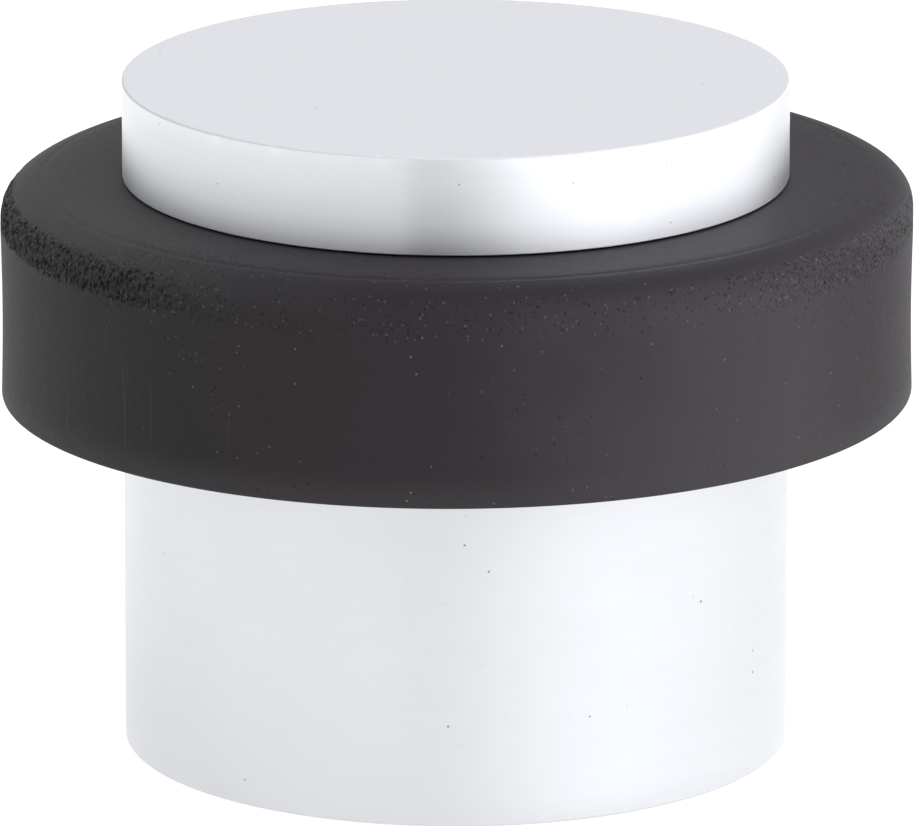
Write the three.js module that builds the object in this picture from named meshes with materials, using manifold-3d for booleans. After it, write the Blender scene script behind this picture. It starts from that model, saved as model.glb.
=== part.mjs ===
// A floor door stop: a turned aluminium post, a rubber buffer ring held under a screw-on cap, and the wood
// screw that fixes the post to the floor, stored inside it.
// Millimetres, +Z up. The origin is the centre of the post's underside.

import * as THREE from 'three';
import { mergeVertices } from 'three/addons/utils/BufferGeometryUtils.js';
import Module from 'manifold-3d';

const wasm = await Module();
wasm.setup();

// Outside dimensions
const totalHeight = 30;
const bodyRadius = 14.7;
const bufferRadius = 20;
const bufferBottom = 15.9;
const capThickness = 4.3;
const edgeChamfer = 0.2;

// Gap between two faces that lie on each other
const restGap = 0.2;

// Heights of the faces that hold the buffer
const capUnderside = totalHeight - capThickness;
const shoulderHeight = bufferBottom - restGap;
const bufferHeight = capUnderside - restGap - bufferBottom;

// Post: its neck carries the buffer, and its hollow takes the cap's spigot and the fixing screw
const neckRadius = 10.4;
const neckTop = capUnderside - restGap;
const neckFillet = 0.4;
const floorThickness = 5;
const hollowRadius = 7;
const mouthRadius = 8.3;
const mouthDepth = 1.7;
const screwHoleRadius = 2.8;
const gasketGroove = { innerRadius: 9.3, outerRadius: 13.3, depth: 1.1 };

// Buffer: a flat top, a low round shoulder and a small round at the lower edge
const bufferBoreRadius = neckRadius + 0.3;
const bufferBoreChamfer = 0.6;
const shoulder = { flatRadius: 18, drop: 0.95, exponent: 1.5 };
const bufferLowerRound = 0.2;

// Cap thread, M15 x 1.5. The post's thread is the same shape, larger by threadClearance all round.
const capThread = { crestRadius: 7.4, depth: 0.8, pitch: 1.5, crestWidth: 0.19, flankAngle: Math.PI / 6 };
const threadClearance = 0.25;
const threadChamfer = 0.8;
const spigotLength = 9;
const spigotBoreRadius = 5.6;
const spigotNeckLength = 1.9;
const spigotNeckRadius = capThread.crestRadius - capThread.depth;
const postThreadLength = 9.5;
const capTopWall = 1.6;

// O-ring round the neck of the spigot, in the post's mouth
const oRing = { sectionRadius: 0.6, centreRadius: 7.45 };

// Wood screw, 5 x 25, and its washer. The tip of the stored screw is just above the floor.
const screwLength = 25;
const screwThread = { crestRadius: 2.5, depth: 0.95, pitch: 2.5, crestWidth: 0.15, flankAngle: Math.PI / 9 };
const screwTipLength = 6;
const screwPlainLength = 2;
const screwTipGap = 0.2;
const screwHead = { radius: 4.7, height: 3, rimHeight: 0.8, flatRadius: 2.6 };
const driveRecess = { width: 1, topSpan: 5, bottomSpan: 2, depth: 2 };
const washer = { innerRadius: 2.75, outerRadius: 5, thickness: 1 };

// Gasket in the underside of the post
const gasketSideGap = 0.2;

// Facets in one turn
const bodySegments = 64;
const threadSegments = 24;
const screwSegments = 16;

const aluminium = { color: 0xdfe0e6, roughness: 0.32, metalness: 1 };
const blackRubber = { color: 0x3a3638, roughness: 0.85, metalness: 0 };
const zincSteel = { color: 0xb9bcc0, roughness: 0.3, metalness: 1 };

// Makes a manifold solid from a closed geometry.
function solidFrom(geometry) {
  const bare = geometry.clone();
  bare.deleteAttribute('normal');
  bare.deleteAttribute('uv');
  const merged = mergeVertices(bare);
  const index = merged.index.array;
  const triVerts = [];
  for (let i = 0; i < index.length; i += 3) {
    const [a, b, c] = index.subarray(i, i + 3);
    const isRealTriangle = a !== b && b !== c && c !== a;
    if (isRealTriangle) triVerts.push(a, b, c);
  }
  const vertProperties = new Float32Array(merged.attributes.position.array);
  const mesh = new wasm.Mesh({ numProp: 3, vertProperties, triVerts: new Uint32Array(triVerts) });
  return new wasm.Manifold(mesh);
}

// Turns a solid into a named mesh with a material of its own.
function piece(name, solid, finish) {
  const result = solid.getMesh();
  const geometry = new THREE.BufferGeometry();
  geometry.setAttribute('position', new THREE.BufferAttribute(result.vertProperties, 3));
  geometry.setIndex(new THREE.BufferAttribute(result.triVerts, 1));
  geometry.computeVertexNormals();
  const mesh = new THREE.Mesh(geometry, new THREE.MeshStandardMaterial(finish));
  mesh.name = name;
  return mesh;
}

// A solid of revolution about Z. Its outline of [radius, height] points runs anticlockwise, and starts and ends
// on the axis, or is closed into a ring.
function turned(outline, segments = bodySegments) {
  const isRing = outline[0][0] > 0;
  const points = outline.map(([radius, height]) => new THREE.Vector2(radius, height));
  if (isRing) points.push(points[0].clone());
  const geometry = new THREE.LatheGeometry(points, segments);
  geometry.rotateX(Math.PI / 2);
  return solidFrom(geometry);
}

// Outline points on a quarter of a superellipse round a centre. At angle 0 the point is to the right of the
// centre, and at a quarter turn it is above it.
function quarterRound([centreRadius, centreHeight], width, height, fromAngle, toAngle, steps, exponent = 2) {
  const points = [];
  for (let i = 0; i <= steps; i += 1) {
    const angle = fromAngle + ((toAngle - fromAngle) * i) / steps;
    const across = Math.sign(Math.cos(angle)) * Math.abs(Math.cos(angle)) ** (2 / exponent);
    const up = Math.sign(Math.sin(angle)) * Math.abs(Math.sin(angle)) ** (2 / exponent);
    points.push([centreRadius + width * across, centreHeight + height * up]);
  }
  return points;
}

// A rod with a right-hand thread of trapezoid section, made longer than bottom to top so that it can be trimmed
// there. The lower edge of the crest passes angle 0 at the height datum, so two threads of one pitch and datum
// are in mesh. taper gives the part of its full radius that the rod has at a height.
function threadedRod(thread, bottom, top, datum, segments, taper = () => 1) {
  const { crestRadius, depth, pitch, crestWidth, flankAngle } = thread;
  const flankWidth = depth * Math.tan(flankAngle);
  const corners = [
    [crestRadius, 0],
    [crestRadius, crestWidth],
    [crestRadius - depth, crestWidth + flankWidth],
    [crestRadius - depth, pitch - flankWidth],
  ];
  const start = datum + (Math.floor((bottom - datum) / pitch) - 1) * pitch;
  const turns = Math.ceil((top - start) / pitch);
  const lastRow = turns * corners.length;

  const point = (column, row) => {
    const angle = (2 * Math.PI * column) / segments;
    const [radius, rise] = corners[row % corners.length];
    const height = start + pitch * (column / segments + Math.floor(row / corners.length)) + rise;
    const reach = radius * taper(height);
    return new THREE.Vector3(reach * Math.cos(angle), reach * Math.sin(angle), height);
  };

  const vertices = [];
  for (let column = 0; column < segments; column += 1) {
    for (let row = 0; row < lastRow; row += 1) {
      const a = point(column, row);
      const b = point(column + 1, row);
      const c = point(column + 1, row + 1);
      const d = point(column, row + 1);
      vertices.push(a, b, c, a, c, d);
    }
  }

  // Each end is a fan from the axis to the end of the helix and down the step where the helix starts.
  const centreRise = (crestWidth + pitch) / 2;
  const lowCentre = new THREE.Vector3(0, 0, start + centreRise);
  const highCentre = new THREE.Vector3(0, 0, start + turns * pitch + centreRise);
  for (let column = 0; column < segments; column += 1) {
    vertices.push(lowCentre, point(column + 1, 0), point(column, 0));
    vertices.push(highCentre, point(column, lastRow), point(column + 1, lastRow));
  }
  for (let step = 0; step < corners.length; step += 1) {
    vertices.push(lowCentre, point(0, step), point(0, step + 1));
    vertices.push(highCentre, point(segments, lastRow - step), point(segments, lastRow - step - 1));
  }
  return solidFrom(new THREE.BufferGeometry().setFromPoints(vertices));
}

// The post, with its neck, its threaded hollow, the hole for the screw and the groove for the gasket.
function makeBasePost() {
  const { innerRadius, outerRadius, depth } = gasketGroove;
  const filletCentre = [neckRadius + neckFillet, shoulderHeight + neckFillet];
  const mouthFloor = neckTop - mouthDepth;
  const overrun = 1;
  const blank = turned([
    [0, 0],
    [innerRadius, 0],
    [innerRadius, depth],
    [outerRadius, depth],
    [outerRadius, 0],
    [bodyRadius - edgeChamfer, 0],
    [bodyRadius, edgeChamfer],
    [bodyRadius, shoulderHeight - edgeChamfer],
    [bodyRadius - edgeChamfer, shoulderHeight],
    ...quarterRound(filletCentre, neckFillet, neckFillet, 1.5 * Math.PI, Math.PI, 3),
    [neckRadius, neckTop - edgeChamfer],
    [neckRadius - edgeChamfer, neckTop],
    [0, neckTop],
  ]);
  const hollow = turned([
    [0, -overrun],
    [screwHoleRadius, -overrun],
    [screwHoleRadius, floorThickness],
    [hollowRadius, floorThickness],
    [hollowRadius, mouthFloor],
    [mouthRadius, mouthFloor],
    [mouthRadius, neckTop - edgeChamfer],
    [mouthRadius + edgeChamfer + overrun, neckTop + overrun],
    [0, neckTop + overrun],
  ], threadSegments);

  const threadBottom = mouthFloor - postThreadLength;
  const cuttingThread = { ...capThread, crestRadius: capThread.crestRadius + threadClearance };
  const cutterRadius = cuttingThread.crestRadius + overrun;
  const cutter = threadedRod(cuttingThread, threadBottom, mouthFloor + overrun, 0, threadSegments);
  const trim = turned([
    [0, threadBottom],
    [hollowRadius, threadBottom],
    [hollowRadius + threadChamfer, threadBottom + threadChamfer],
    [cutterRadius, threadBottom + threadChamfer],
    [cutterRadius, mouthFloor + overrun / 2],
    [0, mouthFloor + overrun / 2],
  ], threadSegments);
  return piece('base_post', blank.subtract(hollow).subtract(cutter.intersect(trim)), aluminium);
}

// The rubber ring, from its own lower face up.
function makeBufferRing() {
  const { flatRadius, drop, exponent } = shoulder;
  const shoulderCentre = [flatRadius, bufferHeight - drop];
  const lowerRoundCentre = [bufferRadius - bufferLowerRound, bufferLowerRound];
  const ring = turned([
    [bufferBoreRadius + bufferBoreChamfer, 0],
    ...quarterRound(lowerRoundCentre, bufferLowerRound, bufferLowerRound, -Math.PI / 2, 0, 3),
    ...quarterRound(shoulderCentre, bufferRadius - flatRadius, drop, 0, Math.PI / 2, 6, exponent),
    [bufferBoreRadius + bufferBoreChamfer, bufferHeight],
    [bufferBoreRadius, bufferHeight - bufferBoreChamfer],
    [bufferBoreRadius, bufferBoreChamfer],
  ]);
  const mesh = piece('buffer_ring', ring, blackRubber);
  mesh.position.z = bufferBottom;
  return mesh;
}

// The cap, from the underside of its disc: the disc above, and the hollow threaded spigot below.
function makeTopCap() {
  const spigotTip = capThread.crestRadius - threadChamfer;
  const overlap = 0.1;
  const disc = turned([
    [0, -spigotNeckLength - overlap],
    [spigotNeckRadius, -spigotNeckLength - overlap],
    [spigotNeckRadius, 0],
    [bodyRadius - edgeChamfer, 0],
    [bodyRadius, edgeChamfer],
    [bodyRadius, capThickness - edgeChamfer],
    [bodyRadius - edgeChamfer, capThickness],
    [0, capThickness],
  ]);
  const threadedPart = turned([
    [0, -spigotLength],
    [spigotTip, -spigotLength],
    [capThread.crestRadius + overlap, threadChamfer - spigotLength + overlap],
    [capThread.crestRadius + overlap, -spigotNeckLength - threadChamfer - overlap],
    [spigotTip, -spigotNeckLength],
    [0, -spigotNeckLength],
  ], threadSegments);
  const rod = threadedRod(capThread, -spigotLength, -spigotNeckLength, -capUnderside, threadSegments);
  const bore = turned([
    [0, -spigotLength - 1],
    [spigotBoreRadius, -spigotLength - 1],
    [spigotBoreRadius, capThickness - capTopWall],
    [0, capThickness - capTopWall],
  ], threadSegments);
  return piece('top_cap', disc.add(rod.intersect(threadedPart)).subtract(bore), aluminium);
}

// The O-ring lies round the neck of the spigot, clear of the floor of the post's mouth.
function makeCapORing() {
  const { sectionRadius, centreRadius } = oRing;
  const ring = solidFrom(new THREE.TorusGeometry(centreRadius, sectionRadius, 8, threadSegments));
  const mesh = piece('cap_o_ring', ring, blackRubber);
  mesh.position.z = (neckTop - mouthDepth - capUnderside) / 2;
  return mesh;
}

// The cross recess of the screw's head: two wings that narrow towards the bottom.
function makeDriveRecess() {
  const { width, topSpan, bottomSpan, depth } = driveRecess;
  const overrun = 1;
  const wing = new THREE.Shape([
    new THREE.Vector2(-bottomSpan / 2, -depth),
    new THREE.Vector2(bottomSpan / 2, -depth),
    new THREE.Vector2(topSpan / 2, 0),
    new THREE.Vector2(topSpan / 2, overrun),
    new THREE.Vector2(-topSpan / 2, overrun),
    new THREE.Vector2(-topSpan / 2, 0),
  ]);
  const first = new THREE.ExtrudeGeometry(wing, { depth: width, bevelEnabled: false });
  first.translate(0, 0, -width / 2);
  first.rotateX(Math.PI / 2);
  const second = first.clone().rotateZ(Math.PI / 2);
  return solidFrom(first).add(solidFrom(second)).translate([0, 0, screwHead.height]);
}

// The wood screw, from the underside of its pan head: the head above, and the threaded shank below.
function makeFixingScrew() {
  const { radius, height, rimHeight, flatRadius } = screwHead;
  const coreRadius = screwThread.crestRadius - screwThread.depth;
  const tip = -screwLength;
  const head = turned([
    [0, -screwPlainLength],
    [coreRadius, -screwPlainLength],
    [coreRadius, 0],
    [radius, 0],
    ...quarterRound([flatRadius, rimHeight], radius - flatRadius, height - rimHeight, 0, Math.PI / 2, 5),
    [0, height],
  ], 2 * screwSegments);
  const bluntness = 0.04;
  const taper = (z) => THREE.MathUtils.clamp((z - tip) / screwTipLength, bluntness, 1);
  const shankTop = -screwPlainLength / 2;
  const rod = threadedRod(screwThread, tip, shankTop, tip, screwSegments, taper);
  const trim = turned([
    [0, tip],
    [radius, tip],
    [radius, shankTop - screwThread.depth],
    [coreRadius, shankTop],
    [0, shankTop],
  ], screwSegments);
  const screw = head.subtract(makeDriveRecess()).add(rod.intersect(trim));
  return piece('fixing_screw', screw, zincSteel);
}

// The washer hangs just under the screw's head.
function makeScrewWasher() {
  const { innerRadius, outerRadius, thickness } = washer;
  const ring = turned([
    [innerRadius, 0],
    [outerRadius, 0],
    [outerRadius, thickness - edgeChamfer],
    [outerRadius - edgeChamfer, thickness],
    [innerRadius, thickness],
  ], threadSegments);
  const mesh = piece('screw_washer', ring, zincSteel);
  mesh.position.z = -restGap - thickness;
  return mesh;
}

// The gasket lies in its groove with its lower face level with the underside of the post.
function makeBaseGasket() {
  const innerRadius = gasketGroove.innerRadius + gasketSideGap;
  const outerRadius = gasketGroove.outerRadius - gasketSideGap;
  const thickness = gasketGroove.depth - restGap;
  const ring = turned([
    [innerRadius, 0],
    [outerRadius, 0],
    [outerRadius, thickness],
    [innerRadius, thickness],
  ]);
  return piece('base_gasket', ring, blackRubber);
}

const capAssembly = new THREE.Group();
capAssembly.add(makeTopCap(), makeCapORing());
capAssembly.position.z = capUnderside;

const screwAssembly = new THREE.Group();
screwAssembly.add(makeFixingScrew(), makeScrewWasher());
screwAssembly.position.z = screwTipGap + screwLength;

const doorStop = new THREE.Group();
doorStop.name = 'door_stop';
doorStop.add(makeBasePost(), makeBaseGasket(), makeBufferRing(), capAssembly, screwAssembly);

export default doorStop;
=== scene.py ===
"""The looks of the floor door stop: its pieces as fine meshes, their materials, the studio and the camera.

Every length is in metres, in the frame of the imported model, with +Z up from the floor.
"""

import math

import bpy
import numpy as np
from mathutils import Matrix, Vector, noise


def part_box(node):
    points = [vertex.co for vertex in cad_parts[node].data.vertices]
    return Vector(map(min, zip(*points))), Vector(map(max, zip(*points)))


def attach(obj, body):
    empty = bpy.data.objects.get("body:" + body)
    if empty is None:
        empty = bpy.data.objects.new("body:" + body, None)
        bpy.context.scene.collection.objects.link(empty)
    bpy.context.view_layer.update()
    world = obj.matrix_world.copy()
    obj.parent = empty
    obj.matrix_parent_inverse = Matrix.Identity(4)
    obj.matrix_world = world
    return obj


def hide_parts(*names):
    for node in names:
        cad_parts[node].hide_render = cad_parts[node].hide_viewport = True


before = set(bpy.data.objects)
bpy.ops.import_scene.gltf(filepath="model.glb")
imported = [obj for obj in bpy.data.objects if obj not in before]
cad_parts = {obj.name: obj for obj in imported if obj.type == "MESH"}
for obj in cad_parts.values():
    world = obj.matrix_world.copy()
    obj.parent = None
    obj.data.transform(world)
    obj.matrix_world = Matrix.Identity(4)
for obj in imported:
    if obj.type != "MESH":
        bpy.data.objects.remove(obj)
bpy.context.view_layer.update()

MM = 0.001
TURN = 2 * math.pi
FLOOR_GLOW = 0.85

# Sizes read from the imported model
_, post_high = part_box("base_post")
cap_low, cap_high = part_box("top_cap")
ring_low, ring_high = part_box("buffer_ring")
seal_low, seal_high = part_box("cap_o_ring")
gasket_low, gasket_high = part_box("base_gasket")
screw_low, screw_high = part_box("fixing_screw")
washer_low, washer_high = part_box("screw_washer")

BODY_RADIUS = post_high.x
NECK_TOP = post_high.z
CAP_TOP = cap_high.z
RING_RADIUS = ring_high.x
RING_BOTTOM = ring_low.z
RING_TOP = ring_high.z

# Faces inside the model that its boxes don't give
REST_GAP = 0.2 * MM
CAP_UNDERSIDE = NECK_TOP + REST_GAP
SHOULDER_HEIGHT = RING_BOTTOM - REST_GAP
NECK_RADIUS = 10.4 * MM
RING_BORE_RADIUS = 10.7 * MM
HOLLOW_RADIUS = 7.0 * MM
MOUTH_RADIUS = 8.3 * MM
MOUTH_DEPTH = 1.7 * MM
FLOOR_THICKNESS = 5.0 * MM
SCREW_HOLE_RADIUS = 2.8 * MM
GROOVE_INNER_RADIUS = 9.3 * MM
GROOVE_OUTER_RADIUS = 13.3 * MM
GROOVE_DEPTH = 1.1 * MM
POST_THREAD_LENGTH = 9.5 * MM
CAP_THREAD_RADIUS = 7.4 * MM
CAP_THREAD_DEPTH = 0.8 * MM
CAP_THREAD_PITCH = 1.5 * MM
SPIGOT_NECK_LENGTH = 1.9 * MM
SPIGOT_BORE_RADIUS = 5.6 * MM
CAP_TOP_WALL = 1.6 * MM
SCREW_LENGTH = 25.0 * MM
SCREW_THREAD_DEPTH = 0.95 * MM
SCREW_THREAD_PITCH = 2.5 * MM
SCREW_THREAD_RADIUS = 2.5 * MM
SCREW_TIP_LENGTH = 6.0 * MM
SCREW_PLAIN_LENGTH = 1.6 * MM
WASHER_INNER_RADIUS = 2.75 * MM

# The buffer's own shape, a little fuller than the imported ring
BUFFER_TOP = RING_TOP + 0.10 * MM
BUFFER_BOTTOM = RING_BOTTOM - 0.03 * MM
BUFFER_RADIUS = RING_RADIUS + 0.13 * MM
BUFFER_FLAT_RADIUS = 17.0 * MM
BUFFER_DROP = 1.8 * MM
BUFFER_WALL_TOP = BUFFER_TOP - BUFFER_DROP
BUFFER_LOWER_ROUND = 0.15 * MM
BUFFER_INSIDE = 14 * MM
CREASE_RADIUS = 18.35 * MM


# --------------------------------------------------------------------------------------------------
# Mesh tools


def rounded(corners, steps=6):
    """A closed outline whose corners (radius, height, rounding) are rounded off by arcs."""
    outline = []
    for i, (radius, height, rounding) in enumerate(corners):
        here = Vector((radius, height))
        if rounding == 0:
            outline.append(here)
            continue
        before = (Vector(corners[i - 1][:2]) - here).normalized()
        after = (Vector(corners[(i + 1) % len(corners)][:2]) - here).normalized()
        half_angle = before.angle(after) / 2
        centre = here + (before + after).normalized() * (rounding / math.sin(half_angle))
        reach = rounding / math.tan(half_angle)
        start = here + before * reach - centre
        end = here + after * reach - centre
        sweep = start.angle_signed(end)
        first_angle = math.atan2(start.y, start.x)
        for k in range(steps + 1):
            angle = first_angle - sweep * k / steps
            outline.append(centre + Vector((math.cos(angle), math.sin(angle))) * rounding)
    return outline


def refined(outline, spacing, low=-1.0, high=1.0, within=(0.0, 1.0)):
    """The closed outline with points added on stretches between those heights and radii, spacing apart."""
    points = []
    for i, here in enumerate(outline):
        there = outline[(i + 1) % len(outline)]
        points.append(here)
        middle = (here + there) / 2
        is_inside = low <= middle.y <= high and within[0] <= middle.x <= within[1]
        pieces = math.ceil((there - here).length / spacing) if is_inside else 1
        points += [here.lerp(there, k / pieces) for k in range(1, pieces)]
    return points


def revolve(name, outline, segments, shape=None, crowding=0.0):
    """A closed mesh turned from a closed outline about Z.

    shape(radius, height, angle) takes arrays of the grid's points and gives their new radii and heights.
    Outline points on the axis become one vertex each. Crowding, below 1, brings the columns closer together
    at the left and spreads them at the right.
    """
    radius = np.array([p.x for p in outline])
    height = np.array([p.y for p in outline])
    angle = np.arange(segments) * TURN / segments
    angle += crowding * np.sin(angle)
    radius, height, angle = (a.copy() for a in np.broadcast_arrays(radius, height, angle[:, None]))
    if shape:
        radius, height = shape(radius, height, angle)
    places = np.stack([radius * np.cos(angle), radius * np.sin(angle), height], axis=-1)

    rows = len(outline)
    index = np.arange(segments * rows).reshape(segments, rows)
    on_axis = [row for row in range(rows) if outline[row].x == 0]
    for row in on_axis:
        index[:, row] = index[0, row]
    faces = []
    for column in range(segments):
        here, there = index[column], index[(column + 1) % segments]
        for row in range(rows):
            above = (row + 1) % rows
            face = list(dict.fromkeys((here[row], there[row], there[above], here[above])))
            if len(face) > 2:
                faces.append(face)
    return new_piece(name, places.reshape(-1, 3), faces)


def new_piece(name, places, faces):
    """A mesh object, without the vertices that no face uses."""
    used = sorted({int(i) for face in faces for i in face})
    new_index = {old: new for new, old in enumerate(used)}
    mesh = bpy.data.meshes.new(name)
    mesh.from_pydata([tuple(places[i]) for i in used], [], [[new_index[int(i)] for i in f] for f in faces])
    mesh.validate()
    mesh.shade_smooth()
    piece = bpy.data.objects.new(name, mesh)
    bpy.context.scene.collection.objects.link(piece)
    return piece


def smooth_step(value, low, high):
    """0 below low and 1 above high, with an even rise between them."""
    t = np.clip((value - low) / (high - low), 0, 1)
    return t * t * (3 - 2 * t)


def thread_height(height, angle, pitch, crest, flank, datum):
    """How far a right-hand thread stands out at each point, from 0 at the root to 1 at the crest.

    The crest's lower edge passes angle 0 at the height datum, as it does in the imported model.
    """
    rise = np.mod((height - datum) / pitch - angle / TURN, 1.0) * pitch
    from_crest = np.abs(rise - crest / 2)
    from_crest = np.minimum(from_crest, pitch - from_crest)
    return 1 - smooth_step(from_crest, crest / 2, crest / 2 + flank)


def nick_depth(angle):
    """Depths of the dents in the cap's upper edge: three at the front left, and smaller ones all round."""
    random = np.random.default_rng(11)
    dents = [(math.radians(turn - 90), 0.21 * MM, 0.04 * MM) for turn in (-44.7, -32, -12.5)]
    for _ in range(26):
        strength = random.uniform(0.25, 1) ** 2
        dents.append((random.uniform(0, TURN), (0.08 + 0.08 * strength) * MM, 0.02 * strength * MM))
    depth = np.zeros_like(angle)
    for centre, half_length, deepest in dents:
        away = np.abs(np.mod(angle - centre + math.pi, TURN) - math.pi) * BODY_RADIUS
        depth = np.maximum(depth, deepest * np.exp(-((away / half_length) ** 4)))
    return depth


def stand_for(piece, node, body, slot, *materials):
    """The piece takes the place of the CAD node, on its body, with the materials given; the slot is not
    used.
    """
    for material in materials:
        piece.data.materials.append(material)
    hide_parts(node)
    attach(piece, body)


# --------------------------------------------------------------------------------------------------
# Material tools


class Graph:
    """Adds nodes to a node tree. An input is a value or another node's output."""

    def __init__(self, tree):
        self.tree = tree

    def add(self, kind, inputs=None, **settings):
        node = self.tree.nodes.new(kind)
        for key, value in settings.items():
            setattr(node, key, value)
        for key, value in (inputs or {}).items():
            if isinstance(value, bpy.types.NodeSocket):
                self.tree.links.new(value, node.inputs[key])
            else:
                node.inputs[key].default_value = value
        return node

    def calc(self, operation, *values, clamp=False):
        """A Math node's result."""
        inputs = dict(enumerate(values))
        return self.add("ShaderNodeMath", inputs, operation=operation, use_clamp=clamp).outputs[0]

    def blend(self, amount, first, second):
        """One colour mixed into another."""
        mix = self.add("ShaderNodeMix", {"Factor": amount}, data_type="RGBA")
        for socket, colour in ((mix.inputs[6], first), (mix.inputs[7], second)):
            if isinstance(colour, bpy.types.NodeSocket):
                self.tree.links.new(colour, socket)
            else:
                socket.default_value = (*colour, 1)
        return mix.outputs[2]

    def step(self, value, start, end):
        """0 up to the start and 1 from the end on, with a smooth change. The start may be the higher."""
        inputs = {"Value": value, "From Min": start, "From Max": end}
        made = self.add("ShaderNodeMapRange", inputs, interpolation_type="SMOOTHSTEP")
        return made.outputs[0]

    def noise(self, place, scale, detail=2.0, roughness=0.5, w=None):
        """A noise texture's value, about 0 to 1."""
        inputs = {"Vector": place, "Scale": scale, "Detail": detail, "Roughness": roughness}
        if w is not None:
            inputs["W"] = w
        dimensions = "3D" if w is None else "4D"
        return self.add("ShaderNodeTexNoise", inputs, noise_dimensions=dimensions).outputs[0]

    def scaled(self, colour, tone):
        """The colour, lighter or darker by the factor tone."""
        inputs = {0: colour, "Scale": tone}
        return self.add("ShaderNodeVectorMath", inputs, operation="SCALE").outputs[0]

    def bump(self, height, strength, distance):
        """A normal tilted by the height's slopes."""
        inputs = {"Strength": strength, "Distance": distance, "Height": height}
        return self.add("ShaderNodeBump", inputs).outputs[0]

    def stretched(self, place, scale):
        """The place, scaled by its own factor along each axis."""
        return self.add("ShaderNodeMapping", {"Vector": place, "Scale": scale}).outputs[0]

    def specks(self, place, scale, size, share):
        """1 inside small round specks, in that share of the cells of a lattice, and 0 elsewhere."""
        cells = self.add("ShaderNodeTexVoronoi", {"Vector": place, "Scale": scale})
        chance = self.add("ShaderNodeSeparateColor", {"Color": cells.outputs["Color"]})
        is_chosen = self.calc("LESS_THAN", chance.outputs[0], share)
        own_size = self.calc("MULTIPLY", chance.outputs[1], size)
        is_near = self.calc("LESS_THAN", cells.outputs["Distance"], own_size)
        return self.calc("MULTIPLY", is_chosen, is_near)


def new_material(name):
    """A material with a Principled shader: its graph, shader and object coordinates."""
    material = bpy.data.materials.new(name)
    material.use_nodes = True
    graph = Graph(material.node_tree)
    shader = material.node_tree.nodes["Principled BSDF"]
    place = graph.add("ShaderNodeTexCoord").outputs["Object"]
    return material, graph, shader, place


def set_inputs(graph, shader, **inputs):
    """Sets or links the shader's inputs. Underscores in a name stand for spaces."""
    for key, value in inputs.items():
        socket = shader.inputs[key.replace("_", " ")]
        if isinstance(value, bpy.types.NodeSocket):
            graph.tree.links.new(value, socket)
        else:
            socket.default_value = value


def distance_from_axis(graph, place):
    """The distance of each point from the Z axis."""
    flat = graph.stretched(place, (1, 1, 0))
    return graph.add("ShaderNodeVectorMath", {0: flat}, operation="LENGTH").outputs["Value"]


def aluminium(name, roughness, anisotropy):
    """Satin aluminium, turned on a lathe: fine circular tool marks, short scratches, dimples and dark pits.

    From the cap's lower edge down it is painted darker: painted shade over the whole post, which tones down
    its reflection of the bright floor, and over the disc's lower edge, where the dark rubber is reflected.
    """
    material, graph, shader, place = new_material(name)
    tint = (0.77, 0.783, 0.809)
    fine_scale = 12000
    wide_scale = 1100
    from_axis = distance_from_axis(graph, place)
    fine_place = graph.stretched(place, (300, 300, fine_scale))
    marks = graph.noise(fine_place, 1.0, 3.0, 0.6, w=graph.calc("MULTIPLY", from_axis, fine_scale))
    wide_place = graph.stretched(place, (90, 90, wide_scale))
    bands = graph.noise(wide_place, 1.0, 2.0, 0.5, w=graph.calc("MULTIPLY", from_axis, wide_scale))
    clouds = graph.noise(place, 170.0, 3.0)
    scratches = graph.specks(graph.stretched(place, (900, 900, 7000)), 1.0, 0.16, 0.15)
    dimples = graph.specks(place, 1000.0, 0.08, 0.8)
    _, _, z = graph.add("ShaderNodeSeparateXYZ", {0: place}).outputs
    # Painted shade: darker from 1.5 mm above the cap's lower edge down, over the disc's lower edge and the
    # whole post.
    painted_shade_below_cap = graph.step(z, CAP_UNDERSIDE + 1.5 * MM, CAP_UNDERSIDE)
    pits = graph.specks(place, 900.0, 0.062, 0.8)

    tone = graph.calc("MULTIPLY_ADD", clouds, 0.05, 0.975)
    tone = graph.calc("MULTIPLY_ADD", marks, 0.06, graph.calc("SUBTRACT", tone, 0.03))
    scratched = graph.calc("MULTIPLY", scratches, 0.07)
    marked = graph.calc("MAXIMUM", scratched, graph.calc("MULTIPLY", pits, 0.55))
    tone = graph.calc("SUBTRACT", tone, graph.calc("MULTIPLY_ADD", painted_shade_below_cap, 0.14, marked))
    rough = graph.calc("MULTIPLY_ADD", bands, 0.06, roughness - 0.03)

    height = graph.calc("MULTIPLY", marks, 0.11)
    height = graph.calc("SUBTRACT", height, graph.calc("MULTIPLY", scratches, 0.25))
    height = graph.calc("SUBTRACT", height, graph.calc("MAXIMUM", dimples, pits))
    tangent = graph.add("ShaderNodeTangent", direction_type="RADIAL", axis="Z")
    set_inputs(
        graph,
        shader,
        Base_Color=graph.scaled(tint, tone),
        Metallic=1.0,
        Roughness=rough,
        Anisotropic=anisotropy,
        Anisotropic_Rotation=0.25,
        Normal=graph.bump(height, 0.3, 0.01 * MM),
        Tangent=tangent.outputs[0],
    )
    return material


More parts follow.
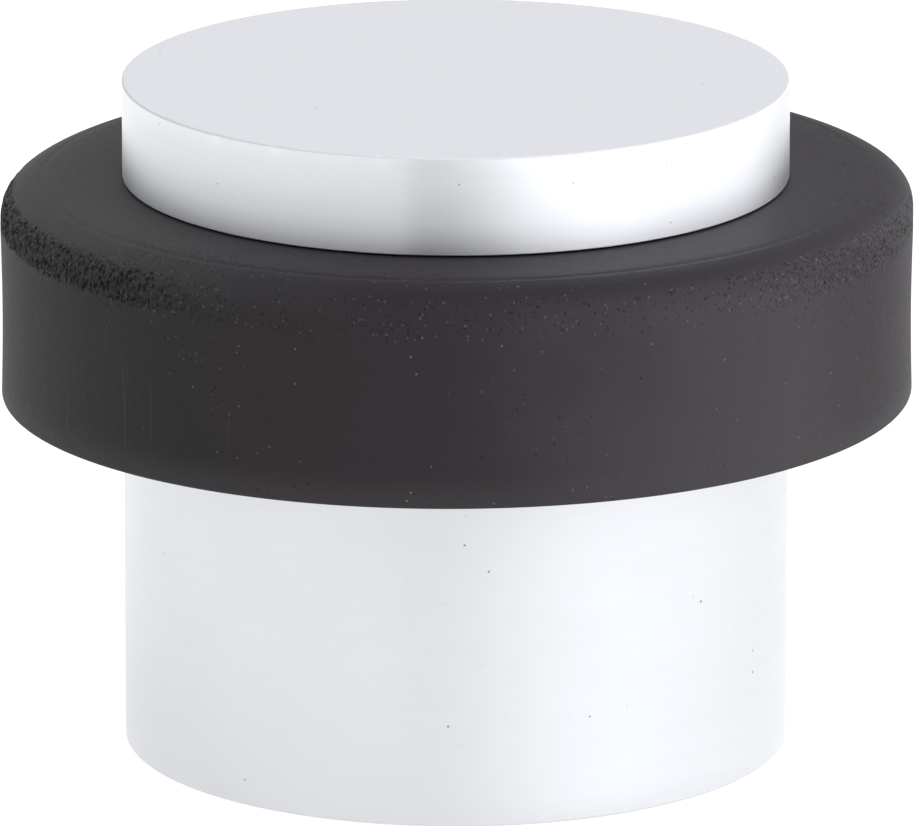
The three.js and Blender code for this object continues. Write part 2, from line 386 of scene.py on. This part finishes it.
def blasted_aluminium(name):
    """Blasted aluminium, which scatters light evenly: a fine grain, faint clouds, dimples and dark pits."""
    material, graph, shader, place = new_material(name)
    tint = (0.544, 0.549, 0.568)
    grain = graph.noise(place, 9000.0, 2.0, 0.6)
    clouds = graph.noise(place, 170.0, 3.0)
    dimples = graph.specks(place, 1000.0, 0.08, 0.5)
    pits = graph.specks(place, 900.0, 0.062, 0.8)
    tone = graph.calc("MULTIPLY_ADD", clouds, 0.03, 0.985)
    tone = graph.calc("SUBTRACT", tone, graph.calc("MULTIPLY", pits, 0.5))
    height = graph.calc("MULTIPLY", grain, 0.15)
    height = graph.calc("SUBTRACT", height, graph.calc("MAXIMUM", dimples, pits))
    set_inputs(
        graph,
        shader,
        Base_Color=graph.scaled(tint, tone),
        Metallic=0.1,
        Roughness=graph.calc("MULTIPLY_ADD", grain, 0.1, 0.55),
        Specular_IOR_Level=0.1,
        Normal=graph.bump(height, 0.4, 0.01 * MM),
    )
    return material


def buffer_rubber():
    """Matte black rubber with dust, pits, faint upright scratches and a torn band."""
    material, graph, shader, place = new_material("buffer_rubber")
    x, _, z = graph.add("ShaderNodeSeparateXYZ", {0: place}).outputs
    clouds = graph.noise(place, 140.0, 3.0, 0.55)
    grain = graph.noise(place, 6200.0, 3.0, 0.6)
    coarse = graph.noise(place, 3000.0, 4.0, 0.65)
    dust = graph.specks(place, 1700.0, 0.09, 0.8)
    pits = graph.specks(place, 1200.0, 0.09, 0.7)
    scratches = upright_scratches(graph, place, x, z)
    holes, dark_flecks, pale_flecks = torn_skin(graph, place, x, z, clouds)

    # The clean colour holds painted light and painted shade at the sides.
    colour = clean_rubber(graph, x, z, clouds)
    deep = (0.003, 0.003, 0.003)
    marks = (
        (holes, 0.85, deep),
        (dark_flecks, 0.45, deep),
        (pale_flecks, 0.35, (0.09, 0.09, 0.092)),
        (scratches, 0.22, (0.05, 0.05, 0.05)),
        (pits, 0.8, deep),
        (dust, 0.5, (0.15, 0.15, 0.155)),
    )
    for mark, strength, tone in marks:
        colour = graph.blend(graph.calc("MULTIPLY", mark, strength), colour, tone)
    rough = graph.calc("MULTIPLY_ADD", coarse, 0.16, 0.54)
    rough = graph.calc("MULTIPLY_ADD", dark_flecks, 0.25, rough)
    rough = graph.calc("MULTIPLY_ADD", holes, 0.4, rough, clamp=True)

    dips = graph.calc("MULTIPLY_ADD", dark_flecks, 1.3, pits)
    dips = graph.calc("MULTIPLY_ADD", holes, 3.5, dips)
    height = graph.calc("MULTIPLY_ADD", coarse, 0.3, grain)
    height = graph.calc("SUBTRACT", height, dips)
    height = graph.calc("MULTIPLY_ADD", scratches, 0.22, height)
    height = graph.calc("MULTIPLY_ADD", pale_flecks, 1.5, height)
    set_inputs(
        graph,
        shader,
        Base_Color=colour,
        Roughness=rough,
        Specular_IOR_Level=0.24,
        Normal=graph.bump(height, 0.5, 0.02 * MM),
    )
    return material


def clean_rubber(graph, x, z, clouds):
    """The clean rubber's colour: browner at the right, paler low down, and greyest on top at the left.
    Painted light makes the wall lighter towards the right and the top lighter at the left, and painted shade
    darkens the far right edge.
    """
    black = (0.0085, 0.0078, 0.0085)
    brown = (0.0138, 0.0092, 0.0120)
    # Painted light: the wall is painted lighter towards the right, where the light falls.
    painted_lit_brown = (0.0285, 0.0235, 0.0275)
    # Painted shade: the far right edge is painted darker, which dims its sheen.
    painted_shade_brown = (0.0100, 0.0068, 0.0094)
    # Painted light: the top at the left is painted lighter.
    painted_lit_grey = (0.0245, 0.0245, 0.0247)
    dull_brown = (0.0110, 0.0080, 0.0108)
    across = graph.calc("MULTIPLY_ADD", clouds, 12 * MM, x)
    wall = graph.blend(graph.step(across, -8 * MM, 2 * MM), black, brown)
    wall = graph.blend(graph.step(across, 5 * MM, 17 * MM), wall, painted_lit_brown)
    wall = graph.blend(graph.step(x, 14 * MM, 19 * MM), wall, painted_shade_brown)
    top = graph.blend(graph.step(across, -10 * MM, 4 * MM), painted_lit_grey, dull_brown)
    colour = graph.blend(graph.step(z, RING_TOP - 0.4 * MM, RING_TOP - 1.6 * MM), top, wall)
    low = graph.calc("MULTIPLY", graph.step(z, RING_BOTTOM + 1.6 * MM, RING_BOTTOM), 0.55)
    return graph.blend(low, colour, (0.030, 0.028, 0.030))


def upright_scratches(graph, place, x, z):
    """Faint upright scratches, low on the wall at the left."""
    upright = graph.noise(graph.stretched(place, (5200, 5200, 240)), 1.0, 2.0, 0.5)
    low_left = graph.calc("MULTIPLY", graph.step(x, -4 * MM, -16 * MM), graph.step(z, 23 * MM, 19 * MM))
    return graph.calc("MULTIPLY", graph.step(upright, 0.60, 0.72), low_left)


def torn_skin(graph, place, x, z, clouds):
    """The marks of torn skin, from the mesh's own torn amount: its holes, its dark flecks and its pale ones.

    The flecks are closer together at the right. A few lie in cloudy patches elsewhere, mostly on the top.
    """
    torn = graph.add("ShaderNodeAttribute", attribute_name="torn").outputs["Fac"]
    very_torn = graph.calc("MULTIPLY", graph.step(torn, 0.3, 0.8), torn)
    holes, _ = torn_cells(graph, graph.stretched(place, (5200, 5200, 3000)), very_torn, 0.0)
    on_top = graph.step(z, RING_TOP - 1.6 * MM, RING_TOP - 0.4 * MM)
    most = graph.calc("MULTIPLY_ADD", on_top, 0.06, 0.03)
    scuffs = graph.calc("MULTIPLY", graph.step(clouds, 0.54, 0.66), most)
    at_right = graph.calc("ADD", graph.step(x, 11 * MM, 16 * MM), 1.0)
    speckled = graph.calc("MULTIPLY", torn, at_right)
    scuffed = graph.calc("POWER", graph.calc("MAXIMUM", speckled, scuffs), 0.6)
    flecks = torn_cells(graph, graph.stretched(place, (8800, 8800, 6500)), scuffed, 0.35)
    return holes, *flecks


def torn_cells(graph, place, torn, pale_share):
    """Torn cells of a lattice, more of them the more torn the skin is: dark ones, and some pale ones."""
    cells = graph.add("ShaderNodeTexVoronoi", {"Vector": place, "Scale": 1.0})
    chance = graph.add("ShaderNodeSeparateColor", {"Color": cells.outputs["Color"]})
    own_size = graph.calc("MULTIPLY_ADD", chance.outputs[1], 0.25, 0.4)
    is_inside = graph.step(cells.outputs["Distance"], own_size, graph.calc("MULTIPLY", own_size, 0.6))
    is_dark = graph.calc("LESS_THAN", chance.outputs[0], graph.calc("MULTIPLY", torn, 0.8))
    is_pale = graph.calc("LESS_THAN", chance.outputs[2], graph.calc("MULTIPLY", torn, pale_share))
    dark = graph.calc("MULTIPLY", is_inside, is_dark)
    is_only_pale = graph.calc("MULTIPLY", is_pale, graph.calc("SUBTRACT", 1.0, is_dark))
    pale = graph.calc("MULTIPLY", is_inside, is_only_pale)
    return dark, pale


def plain_rubber(name, colour, roughness):
    """Moulded rubber of a seal, with a fine grain."""
    material, graph, shader, place = new_material(name)
    grain = graph.noise(place, 3800.0, 3.0, 0.6)
    clouds = graph.noise(place, 240.0, 2.0)
    lighter = tuple(1.6 * part for part in colour)
    mixed = graph.blend(graph.step(clouds, 0.35, 0.7), colour, lighter)
    rough = graph.calc("MULTIPLY_ADD", grain, 0.2, roughness - 0.1)
    normal = graph.bump(grain, 0.4, 0.02 * MM)
    set_inputs(graph, shader, Base_Color=mixed, Roughness=rough, Normal=normal)
    return material


def zinc_steel(name, tint):
    """Zinc-plated steel, with the plating's faint cloudiness and fine draw marks."""
    material, graph, shader, place = new_material(name)
    clouds = graph.noise(place, 520.0, 3.0, 0.6)
    grain = graph.noise(place, 6500.0, 2.0, 0.6)
    warm = (tint[0] * 1.02, tint[1] * 0.99, tint[2] * 0.93)
    colour = graph.blend(graph.step(clouds, 0.4, 0.65), tint, warm)
    rough = graph.calc("MULTIPLY_ADD", clouds, 0.22, 0.16)
    normal = graph.bump(grain, 0.3, 0.008 * MM)
    set_inputs(graph, shader, Base_Color=colour, Metallic=1.0, Roughness=rough, Normal=normal)
    return material


# --------------------------------------------------------------------------------------------------
# Pieces


def make_base_post():
    """The post: outer cylinder, neck, threaded hollow, screw hole and gasket groove."""
    edge = 0.12 * MM
    small = 0.05 * MM
    mouth_floor = NECK_TOP - MOUTH_DEPTH
    thread_bottom = mouth_floor - POST_THREAD_LENGTH
    outline = rounded([
        (SCREW_HOLE_RADIUS, 0, edge),
        (GROOVE_INNER_RADIUS, 0, small),
        (GROOVE_INNER_RADIUS, GROOVE_DEPTH, small),
        (GROOVE_OUTER_RADIUS, GROOVE_DEPTH, small),
        (GROOVE_OUTER_RADIUS, 0, small),
        (BODY_RADIUS, 0, edge),
        (BODY_RADIUS, SHOULDER_HEIGHT, edge),
        (NECK_RADIUS, SHOULDER_HEIGHT, 0.4 * MM),
        (NECK_RADIUS, NECK_TOP, edge),
        (MOUTH_RADIUS, NECK_TOP, edge),
        (MOUTH_RADIUS, mouth_floor, small),
        (HOLLOW_RADIUS, mouth_floor, small),
        (HOLLOW_RADIUS, FLOOR_THICKNESS, small),
        (SCREW_HOLE_RADIUS, FLOOR_THICKNESS, edge),
    ])
    near_axis = (0, HOLLOW_RADIUS + small)
    outline = refined(outline, CAP_THREAD_PITCH / 14, thread_bottom, mouth_floor, near_axis)
    outline = refined(outline, 1.0 * MM)
    cut_depth = CAP_THREAD_RADIUS + 0.25 * MM - HOLLOW_RADIUS
    crest = 0.4 * MM
    flank = 0.4 * MM

    def shape(radius, height, angle):
        is_wall = np.abs(radius - HOLLOW_RADIUS) < small / 2
        fade = smooth_step(height, thread_bottom, thread_bottom + 0.6 * MM)
        cut = thread_height(height, angle, CAP_THREAD_PITCH, crest, flank, 0)
        radius = radius + is_wall * fade * cut * cut_depth * (height < mouth_floor - small)
        return radius, height

    return revolve("post", outline, 288, shape)


def make_top_cap():
    """The cap: the disc, and the hollow threaded spigot under it."""
    edge = 0.08 * MM
    chamfer = 0.04 * MM
    small = 0.01 * MM
    underside = CAP_UNDERSIDE - 0.03 * MM
    spigot_bottom = cap_low.z
    spigot_root = CAP_THREAD_RADIUS - CAP_THREAD_DEPTH
    thread_top = CAP_UNDERSIDE - SPIGOT_NECK_LENGTH
    rim_band = 0.45 * MM
    outline = rounded([
        (0, CAP_TOP - CAP_TOP_WALL, 0),
        (SPIGOT_BORE_RADIUS, CAP_TOP - CAP_TOP_WALL, 0.2 * MM),
        (SPIGOT_BORE_RADIUS, spigot_bottom, edge),
        (spigot_root, spigot_bottom, edge),
        (spigot_root, underside, 0.2 * MM),
        (BODY_RADIUS - chamfer, underside, small),
        (BODY_RADIUS, underside + chamfer, small),
        (BODY_RADIUS, CAP_TOP, edge),
        (BODY_RADIUS - rim_band, CAP_TOP, 0),
        (0, CAP_TOP, 0),
    ])
    outside_bore = (SPIGOT_BORE_RADIUS + small, spigot_root + small)
    outline = refined(outline, CAP_THREAD_PITCH / 10, spigot_bottom, thread_top, outside_bore)
    outline = refined(outline, 0.09 * MM, CAP_TOP - rim_band, CAP_TOP, (BODY_RADIUS - rim_band, BODY_RADIUS))
    outline = refined(outline, 0.6 * MM, CAP_UNDERSIDE, CAP_TOP, (BODY_RADIUS - 0.1 * MM, BODY_RADIUS))
    outline = [p for i, p in enumerate(outline) if (p - outline[i - 1]).length > 1e-7]
    crest = 0.19 * MM
    flank = 0.46 * MM

    def shape(radius, height, angle):
        is_root = np.abs(radius - spigot_root) < small / 2
        start = smooth_step(height, spigot_bottom, spigot_bottom + 0.7 * MM)
        stop = 1 - smooth_step(height, thread_top - 0.7 * MM, thread_top)
        ridge = thread_height(height, angle, CAP_THREAD_PITCH, crest, flank, 0)
        radius = radius + is_root * start * stop * ridge * CAP_THREAD_DEPTH
        from_edge = np.hypot(BODY_RADIUS - radius, CAP_TOP - height)
        near_edge = np.exp(-((from_edge / (0.09 * MM)) ** 2))
        depth = near_edge * nick_depth(angle)
        return radius - depth, height - depth * (radius > BODY_RADIUS - rim_band)

    cap = revolve("cap", outline, 720, shape)
    # The flat top and its rounded edge are blasted, so they take the cap's second material.
    for face in cap.data.polygons:
        if face.center.z > CAP_TOP - edge:
            face.material_index = 1
    return cap


def torn_amount(radius, height, angle):
    """How torn the rubber is at each point, from 0 to 1: a band on the shoulder, strongest at the left."""
    from_band = np.hypot(radius - (RING_RADIUS - 0.1 * MM), height - (RING_TOP - 1.28 * MM))
    band = 1 - smooth_step(from_band, 0.55 * MM, 1.05 * MM)
    left = -np.cos(angle)
    along = 0.06 + 0.94 * smooth_step(left, 0.45, 0.75) + 0.44 * smooth_step(-left, 0.55, 0.9)
    return band * np.clip(along, 0, 1)


def chip_depths(radius, height, angle, torn):
    """How deep the skin is chipped at each point: close-set pits, longer upright than across."""
    deepest = 0.16 * MM
    spacing = 0.19 * MM
    # A pit's radius in spacings, and the factor that gives each pit its own random number
    pit_radius = 0.75
    scatter = 17.3
    depth = np.zeros_like(radius)
    for i in zip(*np.nonzero(torn > 0.02)):
        x = radius[i] * math.cos(angle[i])
        y = radius[i] * math.sin(angle[i])
        place = Vector((x, y, 0.6 * height[i])) / spacing
        distances, centres = noise.voronoi(place)
        is_chipped = noise.cell(centres[0] * scatter) < 3.2 * torn[i] - 2
        depth[i] = is_chipped * max(0.0, 1 - distances[0] / pit_radius) * torn[i] * deepest
    return depth


def buffer_outline():
    """The buffer's outline, with closer rows round its shoulder and its crease.

    The bore is straight-sided.
    """
    bore_round = 0.5 * MM
    exponent = 3
    steps = 30
    close_rows = BUFFER_WALL_TOP - 0.9 * MM
    outline = rounded([
        (RING_BORE_RADIUS, BUFFER_BOTTOM, bore_round),
        (BUFFER_RADIUS, BUFFER_BOTTOM, BUFFER_LOWER_ROUND),
        (BUFFER_RADIUS, BUFFER_TOP, 0),
    ])
    outline[-1] = Vector((BUFFER_RADIUS, close_rows))
    for k in range(steps + 1):
        quarter = math.pi / 2 * k / steps
        across = (BUFFER_RADIUS - BUFFER_FLAT_RADIUS) * math.cos(quarter) ** (2 / exponent)
        up = BUFFER_DROP * math.sin(quarter) ** (2 / exponent)
        outline.append(Vector((BUFFER_FLAT_RADIUS + across, BUFFER_WALL_TOP + up)))
    outline += rounded([
        (RING_BORE_RADIUS, BUFFER_TOP, bore_round),
        (RING_BORE_RADIUS, BUFFER_BOTTOM, 0),
        (BUFFER_RADIUS, BUFFER_TOP, 0),
    ])[:-2]
    on_shoulder = (18.9 * MM, 1)
    near_crease = (CREASE_RADIUS - 0.6 * MM, CREASE_RADIUS + 0.55 * MM)
    outline = refined(outline, 0.085 * MM, close_rows, BUFFER_TOP - 0.005 * MM, on_shoulder)
    outline = refined(outline, 0.07 * MM, BUFFER_TOP - 0.2 * MM, BUFFER_TOP, near_crease)
    return refined(outline, 0.8 * MM, BUFFER_BOTTOM, BUFFER_TOP, (BUFFER_INSIDE, 1))


def worn_buffer(radius, height, angle):
    """Wears the buffer's plain grid: it leans to one side, its top is creased and its skin is torn."""
    # The top is more domed, and the shoulder falls lower, at the left.
    left = (1 - np.cos(angle)) / 2
    own_flat = (18.1 - 1.9 * left) * MM
    own_drop = (1.5 + 0.52 * left) * MM
    own_wall = BUFFER_TOP - own_drop - BUFFER_BOTTOM
    on_top = height > BUFFER_WALL_TOP
    inside = np.clip((radius - RING_BORE_RADIUS) / (BUFFER_FLAT_RADIUS - RING_BORE_RADIUS), 0, 1)
    outside = np.clip((radius - BUFFER_FLAT_RADIUS) / (BUFFER_RADIUS - BUFFER_FLAT_RADIUS), 0, 1)
    flat_part = RING_BORE_RADIUS + inside * (own_flat - RING_BORE_RADIUS)
    new_radius = flat_part + outside * (BUFFER_RADIUS - own_flat)
    up_wall = np.clip((height - BUFFER_BOTTOM) / (BUFFER_WALL_TOP - BUFFER_BOTTOM), 0, 1)
    below_top = np.clip((BUFFER_TOP - height) / BUFFER_DROP, 0, 1)
    new_height = np.where(on_top, BUFFER_TOP - own_drop * below_top, BUFFER_BOTTOM + own_wall * up_wall)
    is_outer = radius > BUFFER_INSIDE
    is_raised = height > BUFFER_BOTTOM + BUFFER_LOWER_ROUND
    radius = np.where(on_top & is_outer, new_radius, radius)
    height = np.where(is_outer & is_raised, new_height, height)

    # The top has a crease, and outside it slopes away a little more.
    from_crease = (radius - CREASE_RADIUS) / (0.16 * MM)
    crease = 0.035 * MM * np.exp(-(from_crease ** 2)) * (height > BUFFER_TOP - 0.6 * MM)
    beyond = np.clip(radius - CREASE_RADIUS, 0, 1.7 * MM)
    height = height - 0.07 * beyond * (1 - below_top) * on_top - crease

    # The wall has a slim waist between its two edges.
    waist_bottom = 16 * MM
    waist_height = 7.2 * MM
    up_waist = np.clip((height - waist_bottom) / waist_height, 0, 1)
    waist = 0.06 * MM * np.sin(math.pi * up_waist)
    radius = radius - waist * smooth_step(radius, 17 * MM, 20 * MM)

    # Small chips of the skin are missing.
    depth = chip_depths(radius, height, angle, torn_amount(radius, height, angle))
    facing_up = smooth_step(height, BUFFER_TOP - 1.4 * MM, BUFFER_TOP - 0.3 * MM)

    # The ring sits a little to the right, and its underside is a little higher there.
    rise = 0.10 * MM * np.cos(angle) * (radius / RING_RADIUS) * (1 - up_wall) * (1 - on_top)
    aside = 0.04 * MM * np.cos(angle)
    return radius - depth * (1 - 0.7 * facing_up) + aside, height - depth * facing_up + rise


def make_buffer_ring():
    """The buffer, with each vertex's torn amount for its rubber."""
    ring = revolve("buffer", buffer_outline(), 800, worn_buffer, crowding=0.45)
    values = np.empty(len(ring.data.vertices) * 3)
    ring.data.vertices.foreach_get("co", values)
    x, y, z = values.reshape(-1, 3).T
    torn = ring.data.attributes.new("torn", "FLOAT", "POINT")
    torn.data.foreach_set("value", torn_amount(np.hypot(x, y), z, np.arctan2(y, x)))
    return ring


def make_cap_o_ring():
    """The O-ring, with the fine parting line of its mould round the outside and the inside."""
    section_radius = (seal_high.z - seal_low.z) / 2
    centre_radius = seal_high.x - section_radius
    centre_height = (seal_high.z + seal_low.z) / 2
    outline = []
    steps = 36
    for k in range(steps):
        angle = TURN * k / steps
        reach = section_radius * (1 + 0.02 * math.exp(-((math.sin(angle) / 0.09) ** 2)))
        radius = centre_radius + reach * math.cos(angle)
        outline.append(Vector((radius, centre_height + reach * math.sin(angle))))
    return revolve("cap_seal_ring", outline, 160)


def make_base_gasket():
    """The gasket: a flat ring with two shallow sealing ribs below."""
    low, high = gasket_low.z, gasket_high.z
    inner, outer = 9.5 * MM, gasket_high.x
    middle = (inner + outer) / 2
    rib = 0.7 * MM
    relief = 0.12 * MM
    soft = 0.1 * MM
    return revolve("gasket", rounded([
        (inner, low, soft),
        (inner + rib, low, soft / 2),
        (inner + rib, low + relief, soft / 2),
        (middle, low + relief, 0),
        (outer - rib, low + relief, soft / 2),
        (outer - rib, low, soft / 2),
        (outer, low, soft),
        (outer, high, soft),
        (inner, high, soft),
    ]), 192)


def make_screw_washer():
    """The washer: punched from sheet, so it is rounder above than below."""
    inner, outer = WASHER_INNER_RADIUS, washer_high.x
    low, high = washer_low.z, washer_high.z
    return revolve("washer", rounded([
        (inner, low, 0.04 * MM),
        (outer, low, 0.04 * MM),
        (outer, high, 0.22 * MM),
        (inner, high, 0.15 * MM),
    ]), 160)


def make_fixing_screw():
    """The wood screw: pan head with a cross recess, and a deep thread down to its point."""
    tip = screw_low.z
    seat = tip + SCREW_LENGTH
    top = screw_high.z
    head_radius = screw_high.x
    core = SCREW_THREAD_RADIUS - SCREW_THREAD_DEPTH
    rim = 0.8 * MM
    fillet = 0.25 * MM
    shank = [Vector((0, tip)), Vector((core, tip)), Vector((core, seat - fillet))]
    outline = refined(shank, SCREW_THREAD_PITCH / 18, within=(0.9 * core, 1))[:-1]
    outline += rounded([
        (core, seat, fillet),
        (head_radius, seat, 0.12 * MM),
        (head_radius, seat + rim, 0),
        (core, tip, 0),
    ])[:-2]
    dome_steps = 16
    flat_radius = 2.6 * MM
    for k in range(1, dome_steps + 1):
        quarter = math.pi / 2 * k / dome_steps
        across = (head_radius - flat_radius) * math.cos(quarter)
        outline.append(Vector((flat_radius + across, seat + rim + (top - seat - rim) * math.sin(quarter))))
    outline.append(Vector((0, top)))
    outline = [p for i, p in enumerate(outline) if (p - outline[i - 1]).length > 1e-7]

    def shape(radius, height, angle):
        is_core = (np.abs(radius - core) < 1e-6) & (height < seat - SCREW_PLAIN_LENGTH / 4)
        stop = 1 - smooth_step(height, seat - SCREW_PLAIN_LENGTH, seat - SCREW_PLAIN_LENGTH / 2)
        ridge = thread_height(height, angle, SCREW_THREAD_PITCH, 0.12 * MM, 0.36 * MM, tip)
        radius = radius + is_core * stop * ridge * SCREW_THREAD_DEPTH
        taper = 0.03 + 0.97 * np.clip((height - tip) / SCREW_TIP_LENGTH, 0, 1) ** 0.85
        return radius * taper, height

    screw = revolve("screw", outline, 96, shape)
    cut_recess(screw, top)
    return screw


def cut_recess(screw, top):
    """Cuts the cross recess into the head: two crossed wings that narrow towards the bottom."""
    corners = ((-1, -1), (1, -1), (1, 1), (-1, 1))
    half_width = 0.5 * MM
    levels = (
        (-2.0 * MM, 1.0 * MM, half_width - 0.06 * MM),
        (0, 2.4 * MM, half_width),
        (0.5 * MM, 2.6 * MM, half_width),
    )
    faces = [[3, 2, 1, 0], [8, 9, 10, 11]]
    for base in (0, 4):
        for k in range(4):
            following = (k + 1) % 4
            faces.append([base + k, base + following, base + 4 + following, base + 4 + k])
    for is_turned in (False, True):
        places = [(x * reach, y * width, top + level) for level, reach, width in levels for x, y in corners]
        if is_turned:
            places = [(-y, x, z) for x, y, z in places]
        wing = new_piece("recess", places, faces)
        cut = screw.modifiers.new("recess", "BOOLEAN")
        cut.operation = "DIFFERENCE"
        cut.solver = "EXACT"
        cut.object = wing
        evaluated = screw.evaluated_get(bpy.context.evaluated_depsgraph_get())
        mesh = bpy.data.meshes.new_from_object(evaluated)
        screw.modifiers.clear()
        screw.data = mesh
        bpy.data.objects.remove(wing)
    screw.data.set_sharp_from_angle(angle=math.radians(35))


# --------------------------------------------------------------------------------------------------
# Studio


def make_camera():
    """A long lens at the photograph's angle: a little above, straight from the front."""
    elevation = math.radians(15.3)
    distance = 577 * MM
    aim = Vector((0.05, 0, 14.66)) * MM
    data = bpy.data.cameras.new("camera")
    data.sensor_width = 36
    data.lens = 513
    data.clip_start = 0.01
    data.clip_end = 20
    camera = bpy.data.objects.new("camera", data)
    back = Vector((0, -math.cos(elevation), math.sin(elevation)))
    camera.location = aim + back * distance
    camera.rotation_mode = "QUATERNION"
    camera.rotation_quaternion = (-back).to_track_quat("-Z", "Y")
    bpy.context.scene.collection.objects.link(camera)
    bpy.context.scene.camera = camera


def make_floor():
    """A wide, plain, nearly white floor, lit from below as well, so that shadows on it stay faint."""
    material, graph, shader, place = new_material("floor")
    paper = graph.noise(place, 60.0, 2.0)
    colour = graph.blend(paper, (0.24, 0.24, 0.24), (0.26, 0.26, 0.26))
    set_inputs(
        graph,
        shader,
        Base_Color=colour,
        Roughness=0.9,
        Specular_IOR_Level=0.0,
        Emission_Color=(1, 1, 1, 1),
        Emission_Strength=FLOOR_GLOW,
    )
    size = 5.0
    corners = [(-size, -size, 0), (size, -size, 0), (size, size, 0), (-size, size, 0)]
    floor = new_piece("floor", corners, [[0, 1, 2, 3]])
    floor.location.z = -0.02 * MM
    floor.data.materials.append(material)


def soft_box(name, azimuth, elevation, distance, width, height, power):
    """An area light turned towards the object. Azimuth 0 is the front, and it grows to the right."""
    turn, rise = math.radians(azimuth), math.radians(elevation)
    away = Vector((math.sin(turn) * math.cos(rise), -math.cos(turn) * math.cos(rise), math.sin(rise)))
    data = bpy.data.lights.new(name, "AREA")
    data.shape = "RECTANGLE"
    data.size = width
    data.size_y = height
    data.energy = power
    light = bpy.data.objects.new(name, data)
    light.location = away * distance
    light.rotation_mode = "QUATERNION"
    light.rotation_quaternion = away.to_track_quat("Z", "Y")
    bpy.context.scene.collection.objects.link(light)


def make_world():
    """A bright studio: a white wall at the right, a greyer one at the left, and a dim gap between them.

    Azimuth 0 is the front, and it grows to the right. The gap starts sharply and brightens towards the
    right, and the ceiling is dimmer than the walls.
    """
    back, left, gap, right = 0.94, 1.26, 0.76, 3.3
    world = bpy.data.worlds.new("studio")
    world.use_nodes = True
    graph = Graph(world.node_tree)
    direction = graph.add("ShaderNodeTexCoord").outputs["Generated"]
    x, y, z = graph.add("ShaderNodeSeparateXYZ", {0: direction}).outputs
    azimuth = graph.calc("ARCTAN2", x, graph.calc("MULTIPLY", y, -1.0))

    def faded(start, end, first, second):
        """One level up to the azimuth start, another from end on, and an even change between them."""
        amount = graph.step(azimuth, math.radians(start), math.radians(end))
        return graph.calc("MULTIPLY_ADD", amount, graph.calc("SUBTRACT", second, first), first)

    at_left = faded(-160, -130, back, left)
    at_front = faded(-12, 62, gap, right)
    at_right = faded(115, 160, at_front, back)
    walls = faded(-16.5, -15.5, at_left, at_right)
    ceiling = graph.calc("MULTIPLY_ADD", graph.step(z, 0.4, 0.95), -0.5, 1.0)
    level = graph.calc("MULTIPLY", walls, ceiling)
    background = world.node_tree.nodes["Background"]
    background.inputs["Color"].default_value = (0.975, 0.98, 1.0, 1)
    graph.tree.links.new(level, background.inputs["Strength"])
    bpy.context.scene.world = world


make_camera()
make_floor()
make_world()
soft_box("key", 50, 50, 1.5, 1.4, 1.2, 5)
bpy.context.scene.view_settings.view_transform = "Standard"

post_finish = aluminium("post_aluminium", 0.326, 0.55)
cap_finish = aluminium("cap_aluminium", 0.31, 1.0)
cap_top_finish = blasted_aluminium("cap_top_aluminium")
gasket_finish = plain_rubber("gasket_rubber", (0.010, 0.010, 0.011), 0.7)
seal_finish = plain_rubber("seal_rubber", (0.006, 0.006, 0.007), 0.45)
washer_finish = zinc_steel("washer_steel", (0.62, 0.64, 0.66))
screw_finish = zinc_steel("screw_steel", (0.66, 0.67, 0.69))
stand_for(make_base_post(), "base_post", "base", "post_aluminium", post_finish)
stand_for(make_top_cap(), "top_cap", "cap", "cap_aluminium", cap_finish, cap_top_finish)
stand_for(make_buffer_ring(), "buffer_ring", "buffer", "buffer_rubber", buffer_rubber())
stand_for(make_base_gasket(), "base_gasket", "base", "gasket_rubber", gasket_finish)
stand_for(make_cap_o_ring(), "cap_o_ring", "cap_seal", "seal_rubber", seal_finish)
stand_for(make_screw_washer(), "screw_washer", "washer", "washer_steel", washer_finish)
stand_for(make_fixing_screw(), "fixing_screw", "screw", "screw_steel", screw_finish)
